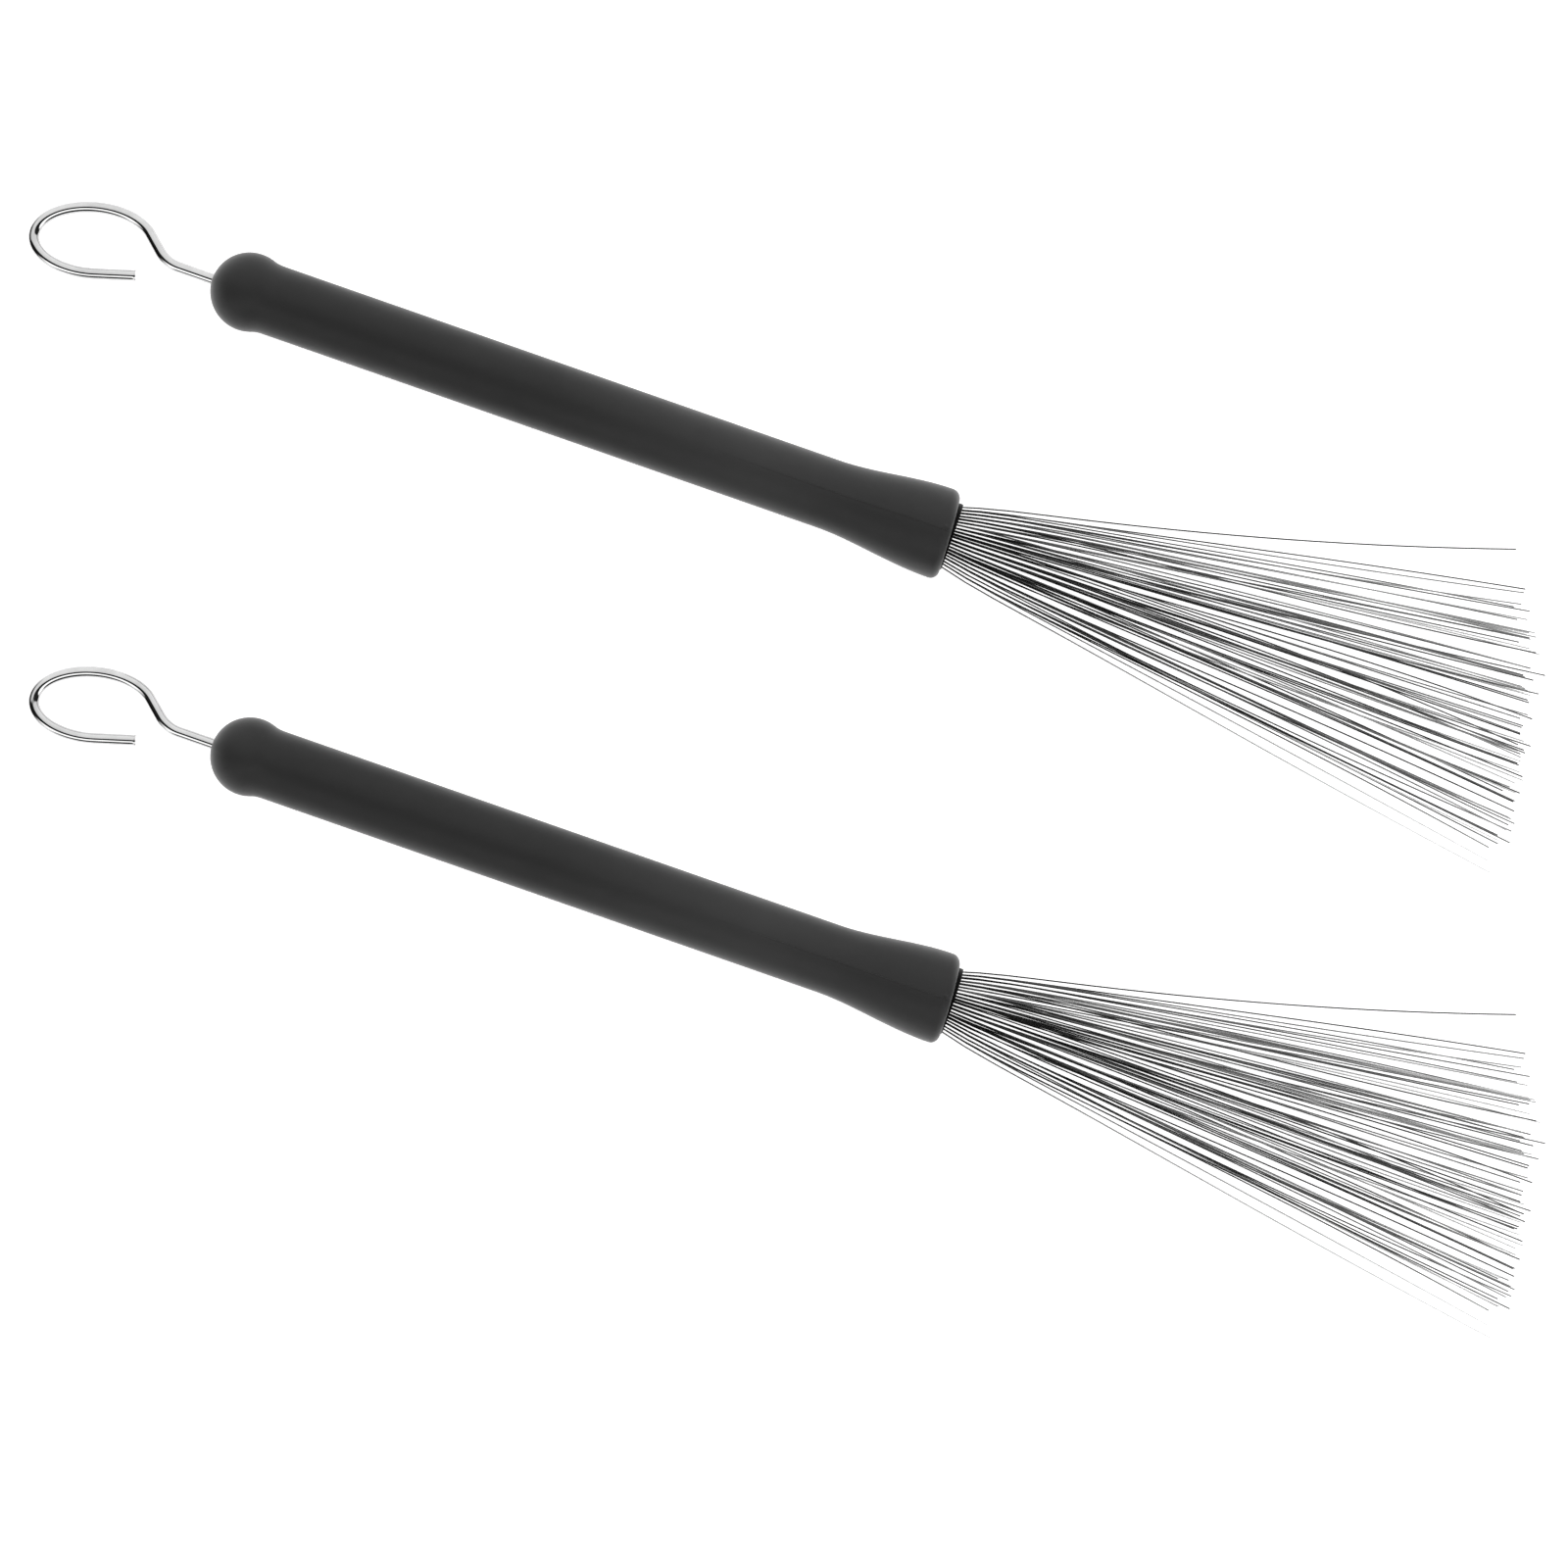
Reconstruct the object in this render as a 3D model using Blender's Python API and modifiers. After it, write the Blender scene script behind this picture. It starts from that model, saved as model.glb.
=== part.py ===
"""A pair of retractable wire drum brushes that lie side by side.

Units are metres and +Z is up. Each brush lies along +X, from its hanging hook to the tips
of its wires. Lengths along a brush are measured from the rear end of its rubber grip.
"""

import math

import bmesh
import bpy
from mathutils import Vector

MM = 0.001

# Where the second brush lies, measured from the first.
BRUSH_COUNT = 2
BRUSH_STEP = Vector((32.8, -94.0, 0.0)) * MM

# Rubber grip: a ball at the rear, a long cylinder, and a flare at the front.
GRIP_LENGTH = 167.3 * MM
BALL_CENTRE = 8.85 * MM
BALL_RADIUS = 8.5 * MM
GRIP_RADIUS = 7.6 * MM
FLARE_RADIUS = 9.85 * MM
FLARE_START = 140.0 * MM
FLARE_END = 165.0 * MM
NECK_ANGLE = math.radians(69.3)
NECK_END = 15.2 * MM
FRONT_CORNER = 1.5 * MM
BALL_WALL_END = 3.9 * MM
GRIP_SIDES = 24

# Handle tube inside the grip, with a bell mouth that stands proud of the rubber.
TUBE_RADIUS = 5.5 * MM
TUBE_BORE = 4.7 * MM
TUBE_START = 8.8 * MM
MOUTH_RADIUS = 7.4 * MM
MOUTH_BORE = 7.0 * MM
BELL_START = 151.0 * MM
MOUTH_PROUD = 0.9 * MM
TUBE_SIDES = 20

# Pull rod, bent at the rear into an open hook.
ROD_RADIUS = 1.25 * MM
ROD_FRONT = 150.0 * MM
EYE_HALF_LENGTH = 12.8 * MM
EYE_HALF_WIDTH = 7.1 * MM
EYE_TILT = math.radians(14.4)
EYE_CENTRE = Vector((-26.5, -0.6, 0.0)) * MM
EYE_FIRST_ANGLE = math.radians(20.5)
EYE_LAST_ANGLE = math.radians(274.0)
EYE_STEPS = 25
BEND_RADIUS = 7.6 * MM
BEND_STEPS = 4
HOOK_TIP_LENGTH = 8.9 * MM

# Small turned pieces on the rod.
ROD_HOLE = 1.55 * MM
SMALL_SIDES = 16
BUSHING_HEAD_RADIUS = 5.4 * MM
BUSHING_SPIGOT_RADIUS = 4.35 * MM
BUSHING_START = 4.3 * MM
BUSHING_STEP = 8.5 * MM
BUSHING_END = 10.5 * MM
COLLAR_RADIUS = 3.2 * MM
COLLAR_START = 140.5 * MM
COLLAR_END = 142.5 * MM
PISTON_RADIUS = 4.3 * MM
PISTON_START = 142.8 * MM
PISTON_END = 148.3 * MM
GROOVE_RADIUS = 3.2 * MM
GROOVE_WIDTH = 1.6 * MM
RING_RADIUS = 3.975 * MM
RING_SECTION = 0.475 * MM
FERRULE_RADIUS = 3.4 * MM
FERRULE_BORE = 3.0 * MM
FERRULE_START = 148.6 * MM
FERRULE_FLOOR = 150.3 * MM
FERRULE_END = 154.6 * MM

# Wires, in tufts that are fused where the ferrule grips them.
WIRE_RADIUS = 0.16 * MM
TUFT_ROOT_RADIUS = 0.60 * MM
TUFT_ROOT_START = 150.7 * MM
TUFT_ROOT_END = 154.0 * MM
TUFT_RINGS = ((3, 0.77 * MM), (9, 2.05 * MM))
WIRE_SUNK = 0.4 * MM
WIRES_AROUND_TUFT = 6
WIRE_RING_RADIUS = 0.40 * MM
BUNDLE_RADIUS = 2.41 * MM
FAN_MOUTH_HALF_WIDTH = 6.5 * MM
FAN_MOUTH_HALF_DEPTH = 3.2 * MM
FAN_HALF_WIDTH = 29.2 * MM
FAN_HALF_DEPTH = 8.0 * MM
FAN_SWAY = 2.5 * MM
STRAY_WIRE = 1.32
FAN_REACH = 130.4 * MM
FAN_SLANT = 0.2
FAN_ROUNDING = 3.5
LIP_EASE = 8.0 * MM
WIRE_STATIONS = (0.0, 0.09, 0.45, 1.0)

# Colour, metallic and roughness of each material.
MATERIALS = {
    "black_rubber": ((0.030, 0.030, 0.031, 1.0), 0.0, 0.62),
    "black_coated_tube": ((0.020, 0.020, 0.021, 1.0), 0.6, 0.40),
    "plated_steel_rod": ((0.62, 0.62, 0.63, 1.0), 1.0, 0.16),
    "spring_steel_wire": ((0.56, 0.56, 0.57, 1.0), 1.0, 0.26),
    "nylon": ((0.60, 0.59, 0.56, 1.0), 0.0, 0.45),
    "seal_rubber": ((0.015, 0.015, 0.015, 1.0), 0.0, 0.60),
    "brass": ((0.70, 0.52, 0.22, 1.0), 1.0, 0.30),
}

MERGE_DISTANCE = 1e-6


def clear_scene():
    for obj in list(bpy.data.objects):
        bpy.data.objects.remove(obj, do_unlink=True)


def new_collection(name):
    collection = bpy.data.collections.new(name)
    bpy.context.scene.collection.children.link(collection)
    return collection


def new_material(name):
    colour, metallic, roughness = MATERIALS[name]
    material = bpy.data.materials.new(name)
    material.use_nodes = True
    shader = material.node_tree.nodes["Principled BSDF"]
    shader.inputs["Base Color"].default_value = colour
    shader.inputs["Metallic"].default_value = metallic
    shader.inputs["Roughness"].default_value = roughness
    material.diffuse_color = colour
    return material


def smooth_step(share):
    share = min(max(share, 0.0), 1.0)
    return share * share * (3.0 - 2.0 * share)


def arc(centre_x, centre_r, radius, first, last, steps):
    """Profile points (radius, x) on an arc; the angles are in degrees, with 90 pointing outward."""
    points = []
    for step in range(steps + 1):
        angle = math.radians(first + (last - first) * step / steps)
        points.append((centre_r + radius * math.sin(angle), centre_x + radius * math.cos(angle)))
    return points


def turned(name, profile, sides, material, collection):
    """A body turned about the brush's axis from a closed profile of (radius, x) points."""
    half_side = math.pi / sides
    points = [
        (radius * math.cos(half_side), radius * math.sin(half_side), along)
        for radius, along in profile
    ]
    edges = [(index, (index + 1) % len(points)) for index in range(len(points))]
    mesh = bpy.data.meshes.new(name)
    mesh.from_pydata(points, edges, [])
    mesh.materials.append(material)
    obj = bpy.data.objects.new(name, mesh)
    obj.rotation_euler = (0.0, math.radians(90.0), 0.0)
    screw = obj.modifiers.new("Turn", "SCREW")
    screw.axis = "Z"
    screw.steps = sides
    screw.render_steps = sides
    screw.use_merge_vertices = True
    screw.merge_threshold = MERGE_DISTANCE
    collection.objects.link(obj)
    return obj


def wire_curve(name, routes, radius, bevel_resolution):
    """A curve object with one round wire along each route."""
    curve = bpy.data.curves.new(name, "CURVE")
    curve.dimensions = "3D"
    curve.bevel_depth = radius
    curve.bevel_resolution = bevel_resolution
    curve.use_fill_caps = True
    for route in routes:
        spline = curve.splines.new("POLY")
        spline.points.add(len(route) - 1)
        for point, place in zip(spline.points, route):
            point.co = (*place, 1.0)
    return bpy.data.objects.new(name, curve)


def mesh_of_curve(curve_object, collection):
    """The curve's evaluated shape as a mesh object with welded caps. The curve is removed."""
    name = curve_object.name
    collection.objects.link(curve_object)
    bpy.context.view_layer.update()
    graph = bpy.context.evaluated_depsgraph_get()
    mesh = bpy.data.meshes.new_from_object(curve_object.evaluated_get(graph))
    bpy.data.objects.remove(curve_object, do_unlink=True)
    welded = bmesh.new()
    welded.from_mesh(mesh)
    bmesh.ops.remove_doubles(welded, verts=welded.verts, dist=MERGE_DISTANCE)
    bmesh.ops.recalc_face_normals(welded, faces=welded.faces)
    welded.to_mesh(mesh)
    welded.free()
    obj = bpy.data.objects.new(name, mesh)
    collection.objects.link(obj)
    return obj


# ---------------------------------------------------------------- grip, tube and turned pieces


def flare_radius(x):
    share = (x - FLARE_START) / (FLARE_END - FLARE_START)
    return GRIP_RADIUS + (FLARE_RADIUS - GRIP_RADIUS) * smooth_step(share)


def bell(x, narrow, wide):
    """Radius of the bell mouth's wall at x, between its narrow and its wide end."""
    share = (x - BELL_START) / (GRIP_LENGTH - BELL_START)
    return narrow + (wide - narrow) * smooth_step(share)


def even_steps(first, last, steps):
    return [first + (last - first) * step / steps for step in range(steps + 1)]


def neck_point(share):
    """A point of the fillet that runs from the ball, at share 0, to the cylinder, at share 1."""
    edge_x = BALL_CENTRE + BALL_RADIUS * math.cos(NECK_ANGLE)
    height = BALL_RADIUS * math.sin(NECK_ANGLE) - GRIP_RADIUS
    length = NECK_END - edge_x
    power = length / (height * math.tan(NECK_ANGLE))
    return (GRIP_RADIUS + height * (1.0 - share) ** power, edge_x + length * share)


def grip_profile():
    corner = arc(GRIP_LENGTH - FRONT_CORNER, FLARE_RADIUS - FRONT_CORNER, FRONT_CORNER, 0, 90, 3)
    flare = [(flare_radius(x), x) for x in even_steps(FLARE_END, FLARE_START, 6)]
    neck = [neck_point(share) for share in (1.0, 0.6, 0.25)]
    ball = arc(BALL_CENTRE, 0.0, BALL_RADIUS, math.degrees(NECK_ANGLE), 170.0, 7)
    bore_gap = 0.3 * MM
    bore = TUBE_RADIUS + bore_gap
    inside = [(ROD_HOLE, ball[-1][1]), (ROD_HOLE, BALL_WALL_END), (bore, BALL_WALL_END)]
    mouth = [
        (bell(x, bore, MOUTH_RADIUS + bore_gap), x)
        for x in even_steps(BELL_START, GRIP_LENGTH, 4)
    ]
    return corner + flare + neck + ball + inside + mouth


def tube_profile():
    mouth = GRIP_LENGTH + MOUTH_PROUD
    stations = even_steps(BELL_START, GRIP_LENGTH, 4)
    outside = [(bell(x, TUBE_RADIUS, MOUTH_RADIUS), x) for x in reversed(stations)]
    inside = [(bell(x, TUBE_BORE, MOUTH_BORE), x) for x in stations]
    return (
        [(MOUTH_RADIUS, mouth)] + outside + [(TUBE_RADIUS, TUBE_START), (TUBE_BORE, TUBE_START)]
        + inside + [(MOUTH_BORE, mouth)]
    )


def bushing_profile():
    return [
        (BUSHING_SPIGOT_RADIUS, BUSHING_END),
        (BUSHING_SPIGOT_RADIUS, BUSHING_STEP),
        (BUSHING_HEAD_RADIUS, BUSHING_STEP),
        (BUSHING_HEAD_RADIUS, BUSHING_START),
        (ROD_HOLE, BUSHING_START),
        (ROD_HOLE, BUSHING_END),
    ]


def sleeve_profile(outer, inner, start, end, chamfer):
    """A ring with a chamfer on both of its outer edges."""
    return [
        (outer - chamfer, end),
        (outer, end - chamfer),
        (outer, start + chamfer),
        (outer - chamfer, start),
        (inner, start),
        (inner, end),
    ]


def collar_profile():
    return sleeve_profile(COLLAR_RADIUS, ROD_HOLE, COLLAR_START, COLLAR_END, 0.3 * MM)


def piston_profile():
    middle = (PISTON_START + PISTON_END) / 2
    profile = sleeve_profile(PISTON_RADIUS, ROD_HOLE, PISTON_START, PISTON_END, 0.4 * MM)
    groove = [
        (PISTON_RADIUS, middle + GROOVE_WIDTH / 2),
        (GROOVE_RADIUS, middle + GROOVE_WIDTH / 2),
        (GROOVE_RADIUS, middle - GROOVE_WIDTH / 2),
        (PISTON_RADIUS, middle - GROOVE_WIDTH / 2),
    ]
    return profile[:2] + groove + profile[2:]


def ring_profile():
    middle = (PISTON_START + PISTON_END) / 2
    return arc(middle, RING_RADIUS, RING_SECTION, 0.0, 315.0, 7)


def ferrule_profile():
    lip = 0.3 * MM
    return [
        (FERRULE_RADIUS - lip, FERRULE_END),
        (FERRULE_RADIUS, FERRULE_END - lip),
        (FERRULE_RADIUS, FERRULE_START + lip),
        (FERRULE_RADIUS - lip, FERRULE_START),
        (ROD_HOLE, FERRULE_START),
        (ROD_HOLE, FERRULE_FLOOR),
        (FERRULE_BORE, FERRULE_FLOOR),
        (FERRULE_BORE, FERRULE_END),
    ]


# ---------------------------------------------------------------- pull rod with its hook


def eye_point(angle):
    """A point of the hook's oval eye."""
    along = EYE_HALF_LENGTH * math.cos(angle)
    across = EYE_HALF_WIDTH * math.sin(angle)
    x = along * math.cos(EYE_TILT) - across * math.sin(EYE_TILT)
    y = along * math.sin(EYE_TILT) + across * math.cos(EYE_TILT)
    return EYE_CENTRE + Vector((x, y, 0.0))


def eye_direction(angle):
    """The wire's direction at a point of the eye, towards growing angles."""
    along = -EYE_HALF_LENGTH * math.sin(angle)
    across = EYE_HALF_WIDTH * math.cos(angle)
    x = along * math.cos(EYE_TILT) - across * math.sin(EYE_TILT)
    y = along * math.sin(EYE_TILT) + across * math.cos(EYE_TILT)
    return Vector((x, y, 0.0)).normalized()


def rod_route():
    """Centre line of the rod: a straight shank, one bend up to the eye, the eye and a straight tip."""
    eye_start = eye_point(EYE_FIRST_ANGLE)
    rise = eye_direction(EYE_FIRST_ANGLE)
    slope = math.atan2(rise.y, -rise.x)
    corner_x = eye_start.x + eye_start.y / math.tan(slope)
    bend_start = corner_x + BEND_RADIUS * math.tan(slope / 2)
    route = [Vector((ROD_FRONT, 0.0, 0.0))]
    for step in range(BEND_STEPS + 1):
        angle = slope * step / BEND_STEPS
        across = BEND_RADIUS * (1.0 - math.cos(angle))
        route.append(Vector((bend_start - BEND_RADIUS * math.sin(angle), across, 0.0)))
    for angle in even_steps(EYE_FIRST_ANGLE, EYE_LAST_ANGLE, EYE_STEPS):
        route.append(eye_point(angle))
    route.append(route[-1] + HOOK_TIP_LENGTH * eye_direction(EYE_LAST_ANGLE))
    return route


def make_pull_rod(name, material, collection):
    obj = wire_curve(name, [rod_route()], ROD_RADIUS, 2)
    obj.data.materials.append(material)
    collection.objects.link(obj)
    return obj


# ---------------------------------------------------------------- wire tufts


def spread(x, at_mouth, at_tip):
    """Half the fan's width or depth at x, from what it is at the tube's mouth and at the tips."""
    mouth = GRIP_LENGTH + MOUTH_PROUD
    inner_slope = (at_mouth - BUNDLE_RADIUS) / (mouth - TUFT_ROOT_END)
    if x <= mouth:
        return BUNDLE_RADIUS + inner_slope * max(x - TUFT_ROOT_END, 0.0)
    outer_slope = (at_tip - at_mouth - inner_slope * LIP_EASE) / (FAN_REACH - LIP_EASE)
    past = x - mouth
    eased = LIP_EASE * (1.0 - math.exp(-past / LIP_EASE))
    return at_mouth + outer_slope * past + (inner_slope - outer_slope) * eased


def wire_point(across, up, x, stray):
    """A wire's centre at x, when it sits at (across, up) of the round bundle's unit disc.

    stray is how much further out than its neighbours the wire ends.
    """
    mouth = GRIP_LENGTH + MOUTH_PROUD
    sway = FAN_SWAY * max(x - mouth, 0.0) / FAN_REACH
    half_width = spread(x, FAN_MOUTH_HALF_WIDTH, FAN_HALF_WIDTH * stray)
    half_depth = spread(x, FAN_MOUTH_HALF_DEPTH, FAN_HALF_DEPTH)
    return Vector((x, sway + across * half_width, up * half_depth))


def wire_route(across, up):
    stray = STRAY_WIRE if across > 1.0 else 1.0
    first = TUFT_ROOT_END - WIRE_SUNK
    mouth = GRIP_LENGTH + MOUTH_PROUD
    tip_y = FAN_SWAY + across * FAN_HALF_WIDTH * stray
    last = mouth + FAN_REACH - FAN_SLANT * tip_y - FAN_ROUNDING * tip_y**2
    stations = [first + (last - first) * share for share in WIRE_STATIONS]
    return [wire_point(across, up, x, stray) for x in stations]


def tuft_places():
    """The centre of each tuft's root, across and up from the axis."""
    places = []
    for count, radius in TUFT_RINGS:
        for index in range(count):
            angle = 2 * math.pi * (index + 0.25) / count
            places.append((radius * math.cos(angle), radius * math.sin(angle)))
    return places


def wires_of_tuft(place):
    """Each wire's place in the bundle's unit disc: one in the middle of the tuft and the rest around it."""
    wires = [place]
    for index in range(WIRES_AROUND_TUFT):
        angle = 2 * math.pi * index / WIRES_AROUND_TUFT
        across = place[0] + WIRE_RING_RADIUS * math.cos(angle)
        up = place[1] + WIRE_RING_RADIUS * math.sin(angle)
        wires.append((across, up))
    return [(across / BUNDLE_RADIUS, up / BUNDLE_RADIUS) for across, up in wires]


def make_tuft(name, place, material, collection, cutters):
    """A fused root with its wires joined to it."""
    routes = [wire_route(across, up) for across, up in wires_of_tuft(place)]
    wires = mesh_of_curve(wire_curve(name + "_wires", routes, WIRE_RADIUS, 0), cutters)
    wires.hide_render = True
    wires.display_type = "WIRE"
    root_length = TUFT_ROOT_END - TUFT_ROOT_START
    bpy.ops.mesh.primitive_cylinder_add(
        vertices=8,
        radius=TUFT_ROOT_RADIUS,
        depth=root_length,
        location=(TUFT_ROOT_START + root_length / 2, place[0], place[1]),
        rotation=(0.0, math.radians(90.0), 0.0),
    )
    root = bpy.context.object
    root.name = name
    root.data.transform(root.matrix_basis)
    root.matrix_basis.identity()
    root.data.materials.append(material)
    for old in list(root.users_collection):
        old.objects.unlink(root)
    collection.objects.link(root)
    union = root.modifiers.new("Join wires", "BOOLEAN")
    union.operation = "UNION"
    union.object = wires
    return root


# ---------------------------------------------------------------- assembly


def fix_mesh(obj):
    """Replaces the object's modifiers by the mesh that they make."""
    bpy.context.view_layer.update()
    graph = bpy.context.evaluated_depsgraph_get()
    mesh = bpy.data.meshes.new_from_object(obj.evaluated_get(graph))
    mesh.name = obj.name
    obj.modifiers.clear()
    obj.data = mesh


def make_first_brush(collection, cutters, materials):
    """The first brush's parts by name pattern, each with its origin on the brush's axis."""
    turned_parts = (
        ("rubber_grip_{}", grip_profile(), GRIP_SIDES, "black_rubber"),
        ("handle_tube_{}", tube_profile(), TUBE_SIDES, "black_coated_tube"),
        ("rear_bushing_{}", bushing_profile(), SMALL_SIDES, "nylon"),
        ("rod_stop_collar_{}", collar_profile(), SMALL_SIDES, "brass"),
        ("guide_piston_{}", piston_profile(), SMALL_SIDES, "nylon"),
        ("friction_ring_{}", ring_profile(), SMALL_SIDES, "seal_rubber"),
        ("wire_ferrule_{}", ferrule_profile(), SMALL_SIDES, "brass"),
    )
    parts = {}
    for pattern, profile, sides, material in turned_parts:
        parts[pattern] = turned(pattern.format(1), profile, sides, materials[material], collection)
    parts["pull_rod_{}"] = make_pull_rod("pull_rod_1", materials["plated_steel_rod"], collection)
    for index, place in enumerate(tuft_places(), start=1):
        pattern = f"wire_tuft_{{}}_{index:02d}"
        tuft = make_tuft(pattern.format(1), place, materials["spring_steel_wire"], collection, cutters)
        fix_mesh(tuft)
        parts[pattern] = tuft
    return parts


def copy_of(obj, name, collection):
    twin = obj.copy()
    twin.name = name
    collection.objects.link(twin)
    return twin


def new_axis(name, location, collection):
    axis = bpy.data.objects.new(name, None)
    axis.location = location
    axis.empty_display_size = 20 * MM
    collection.objects.link(axis)
    return axis


def bounds(objects):
    """The lowest and the highest corner of the objects' evaluated meshes, in world space."""
    bpy.context.view_layer.update()
    graph = bpy.context.evaluated_depsgraph_get()
    points = []
    for obj in objects:
        evaluated = obj.evaluated_get(graph)
        mesh = evaluated.to_mesh()
        points += [evaluated.matrix_world @ vertex.co for vertex in mesh.vertices]
        evaluated.to_mesh_clear()
    low = Vector([min(point[side] for point in points) for side in range(3)])
    high = Vector([max(point[side] for point in points) for side in range(3)])
    return low, high


def main():
    clear_scene()
    collection = new_collection("wire_drum_brushes")
    cutters = new_collection("joined_wires")
    materials = {name: new_material(name) for name in MATERIALS}
    first_brush = make_first_brush(collection, cutters, materials)
    axes = []
    parts = []
    for number in range(1, BRUSH_COUNT + 1):
        axis = new_axis(f"brush_{number}_axis", BRUSH_STEP * (number - 1), collection)
        axes.append(axis)
        for pattern, obj in first_brush.items():
            part = obj if number == 1 else copy_of(obj, pattern.format(number), collection)
            part.parent = axis
            parts.append(part)
    low, high = bounds(parts)
    middle = Vector(((low.x + high.x) / 2, (low.y + high.y) / 2, low.z))
    for axis in axes:
        axis.location -= middle
        print(axis.name, "at", [round(value, 6) for value in axis.location])


main()
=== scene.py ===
"""Looks for a pair of retractable wire drum brushes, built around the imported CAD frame.

Units are metres, in the CAD's own frame: +X runs along both brushes towards the wires and
+Z is up. Lengths along a brush are measured from the rear end of its rubber grip.
"""

import math
import random

import bmesh
import bpy
from mathutils import Matrix, Vector


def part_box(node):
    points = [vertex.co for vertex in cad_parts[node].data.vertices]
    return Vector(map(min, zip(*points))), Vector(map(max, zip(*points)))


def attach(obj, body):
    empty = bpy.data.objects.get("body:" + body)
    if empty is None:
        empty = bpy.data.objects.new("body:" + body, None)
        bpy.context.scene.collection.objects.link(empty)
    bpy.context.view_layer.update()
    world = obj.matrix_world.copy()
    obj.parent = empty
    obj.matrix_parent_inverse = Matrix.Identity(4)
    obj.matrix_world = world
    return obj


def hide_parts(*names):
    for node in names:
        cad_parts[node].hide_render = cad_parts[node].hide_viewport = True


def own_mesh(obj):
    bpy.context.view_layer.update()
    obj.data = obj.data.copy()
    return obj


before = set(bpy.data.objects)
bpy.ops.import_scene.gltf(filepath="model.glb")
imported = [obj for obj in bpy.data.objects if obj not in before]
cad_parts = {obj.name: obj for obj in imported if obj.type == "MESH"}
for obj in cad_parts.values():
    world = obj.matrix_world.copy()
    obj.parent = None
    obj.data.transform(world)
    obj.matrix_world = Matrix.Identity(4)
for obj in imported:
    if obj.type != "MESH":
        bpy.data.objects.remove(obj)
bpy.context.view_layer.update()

MM = 0.001
BRUSHES = (1, 2)
SHARP_ANGLE = math.radians(50.0)

# Rubber grip.
GRIP_LENGTH = 167.3 * MM
BALL_CENTRE = 8.85 * MM
BALL_RADIUS = 8.5 * MM
GRIP_RADIUS = 7.6 * MM
FLARE_RADIUS = 9.85 * MM
FLARE_START = 140.0 * MM
FLARE_END = 165.0 * MM
NECK_ANGLE = math.radians(69.3)
NECK_END = 15.2 * MM
FRONT_CORNER = 2.0 * MM
FRONT_TILT = 0.055
FRONT_BULGE = 0.25 * MM
REAR_HOLE_ANGLE = 166.0
HOLE_EDGE = 0.40 * MM
HOLE_EDGE_DEPTH = 0.35 * MM
POCKET_START = 3.9 * MM
BORE_GAP = 0.12 * MM
GRIP_SIDES = 192

# Rubber grip: the marks of its mould. They keep a margin from the front face and the bore.
MARK_MARGIN = 0.5 * MM
BALL_LINE = 11.0 * MM
BALL_LINE_WIDTH = 0.22 * MM
BALL_LINE_DEPTH = 0.03 * MM
SEAM_ANGLES = (math.radians(2.5), math.radians(182.5))
SEAM_STEP = 0.10 * MM
SEAM_FADE = 1.6 * MM
SEAM_START = 112.0 * MM
SEAM_RISE = 22 * MM
SEAM_TURNS = (-2.4, -1.2, -0.6, -0.1, 0.1, 0.6, 1.2, 2.4, 3.3, 4.0, 4.7)
GATE_MARK = 165.9 * MM
GATE_TURN = math.radians(4.0)
GATE_RADIUS = 0.30 * MM
GATE_HEIGHT = 0.24 * MM

# Handle tube.
TUBE_RADIUS = 5.5 * MM
TUBE_BORE = 4.7 * MM
TUBE_START = 8.8 * MM
MOUTH_RADIUS = 7.4 * MM
MOUTH_BORE = 7.0 * MM
BELL_START = 151.0 * MM
MOUTH_PROUD = 0.9 * MM
TUBE_SIDES = 96

# Pull rod and hook.
ROD_RADIUS = 1.25 * MM
ROD_SIDES = 32
ROD_CHAMFER = 0.85
ROD_HOLE = 1.55 * MM
ROD_FRONT = 150.0 * MM
EYE_HALF_LENGTH = 12.8 * MM
EYE_HALF_WIDTH = 7.1 * MM
EYE_TILT = math.radians(14.4)
EYE_CENTRE = Vector((-26.5, -0.6, 0.0)) * MM
EYE_FIRST_ANGLE = math.radians(20.5)
EYE_LAST_ANGLE = math.radians(274.0)
BEND_RADIUS = 7.6 * MM
HOOK_TIP_LENGTH = 8.9 * MM
HOOK_TIP_STATIONS = (0.25, 0.5, 0.75, 0.88, 0.92, 0.96, 0.985, 1.0)
HOOK_TIP_BURR = (0.98, 1.04, 1.12, 1.13)

# Wires: the round bundle in the ferrule. A tuft ring is its number of tufts and its radius.
WIRE_RADIUS = 0.155 * MM
WIRE_PITCH = 0.40 * MM
WIRE_SIDES = 8
WIRE_STEPS = 22
WIRES_PER_TUFT = 7
WIRE_SEED = 101
ROOT_START = 150.7 * MM
ROOT_END = 154.0 * MM
TUFT_RINGS = ((3, 0.77 * MM), (9, 2.05 * MM))
BUNDLE_RADIUS = 2.41 * MM

# Wires: the fan in front of the tube's mouth.
MOUTH = GRIP_LENGTH + MOUTH_PROUD
FAN_MOUTH_HALF_WIDTH = 6.5 * MM
FAN_MOUTH_HALF_DEPTH = 3.2 * MM
FAN_HALF_WIDTH = 29.2 * MM
FAN_HALF_DEPTH = 8.0 * MM
FAN_SWAY = 2.5 * MM
FAN_REACH = 130.4 * MM
FAN_SLANT = 0.2
FAN_ROUNDING = 3.5
LIP_EASE = 8.0 * MM
COLUMN_PITCH = 0.68 * MM
COLUMN_REACH = 20.0 * MM
COLUMN_LEAN = {1: -0.066, 2: 0.034}

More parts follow.
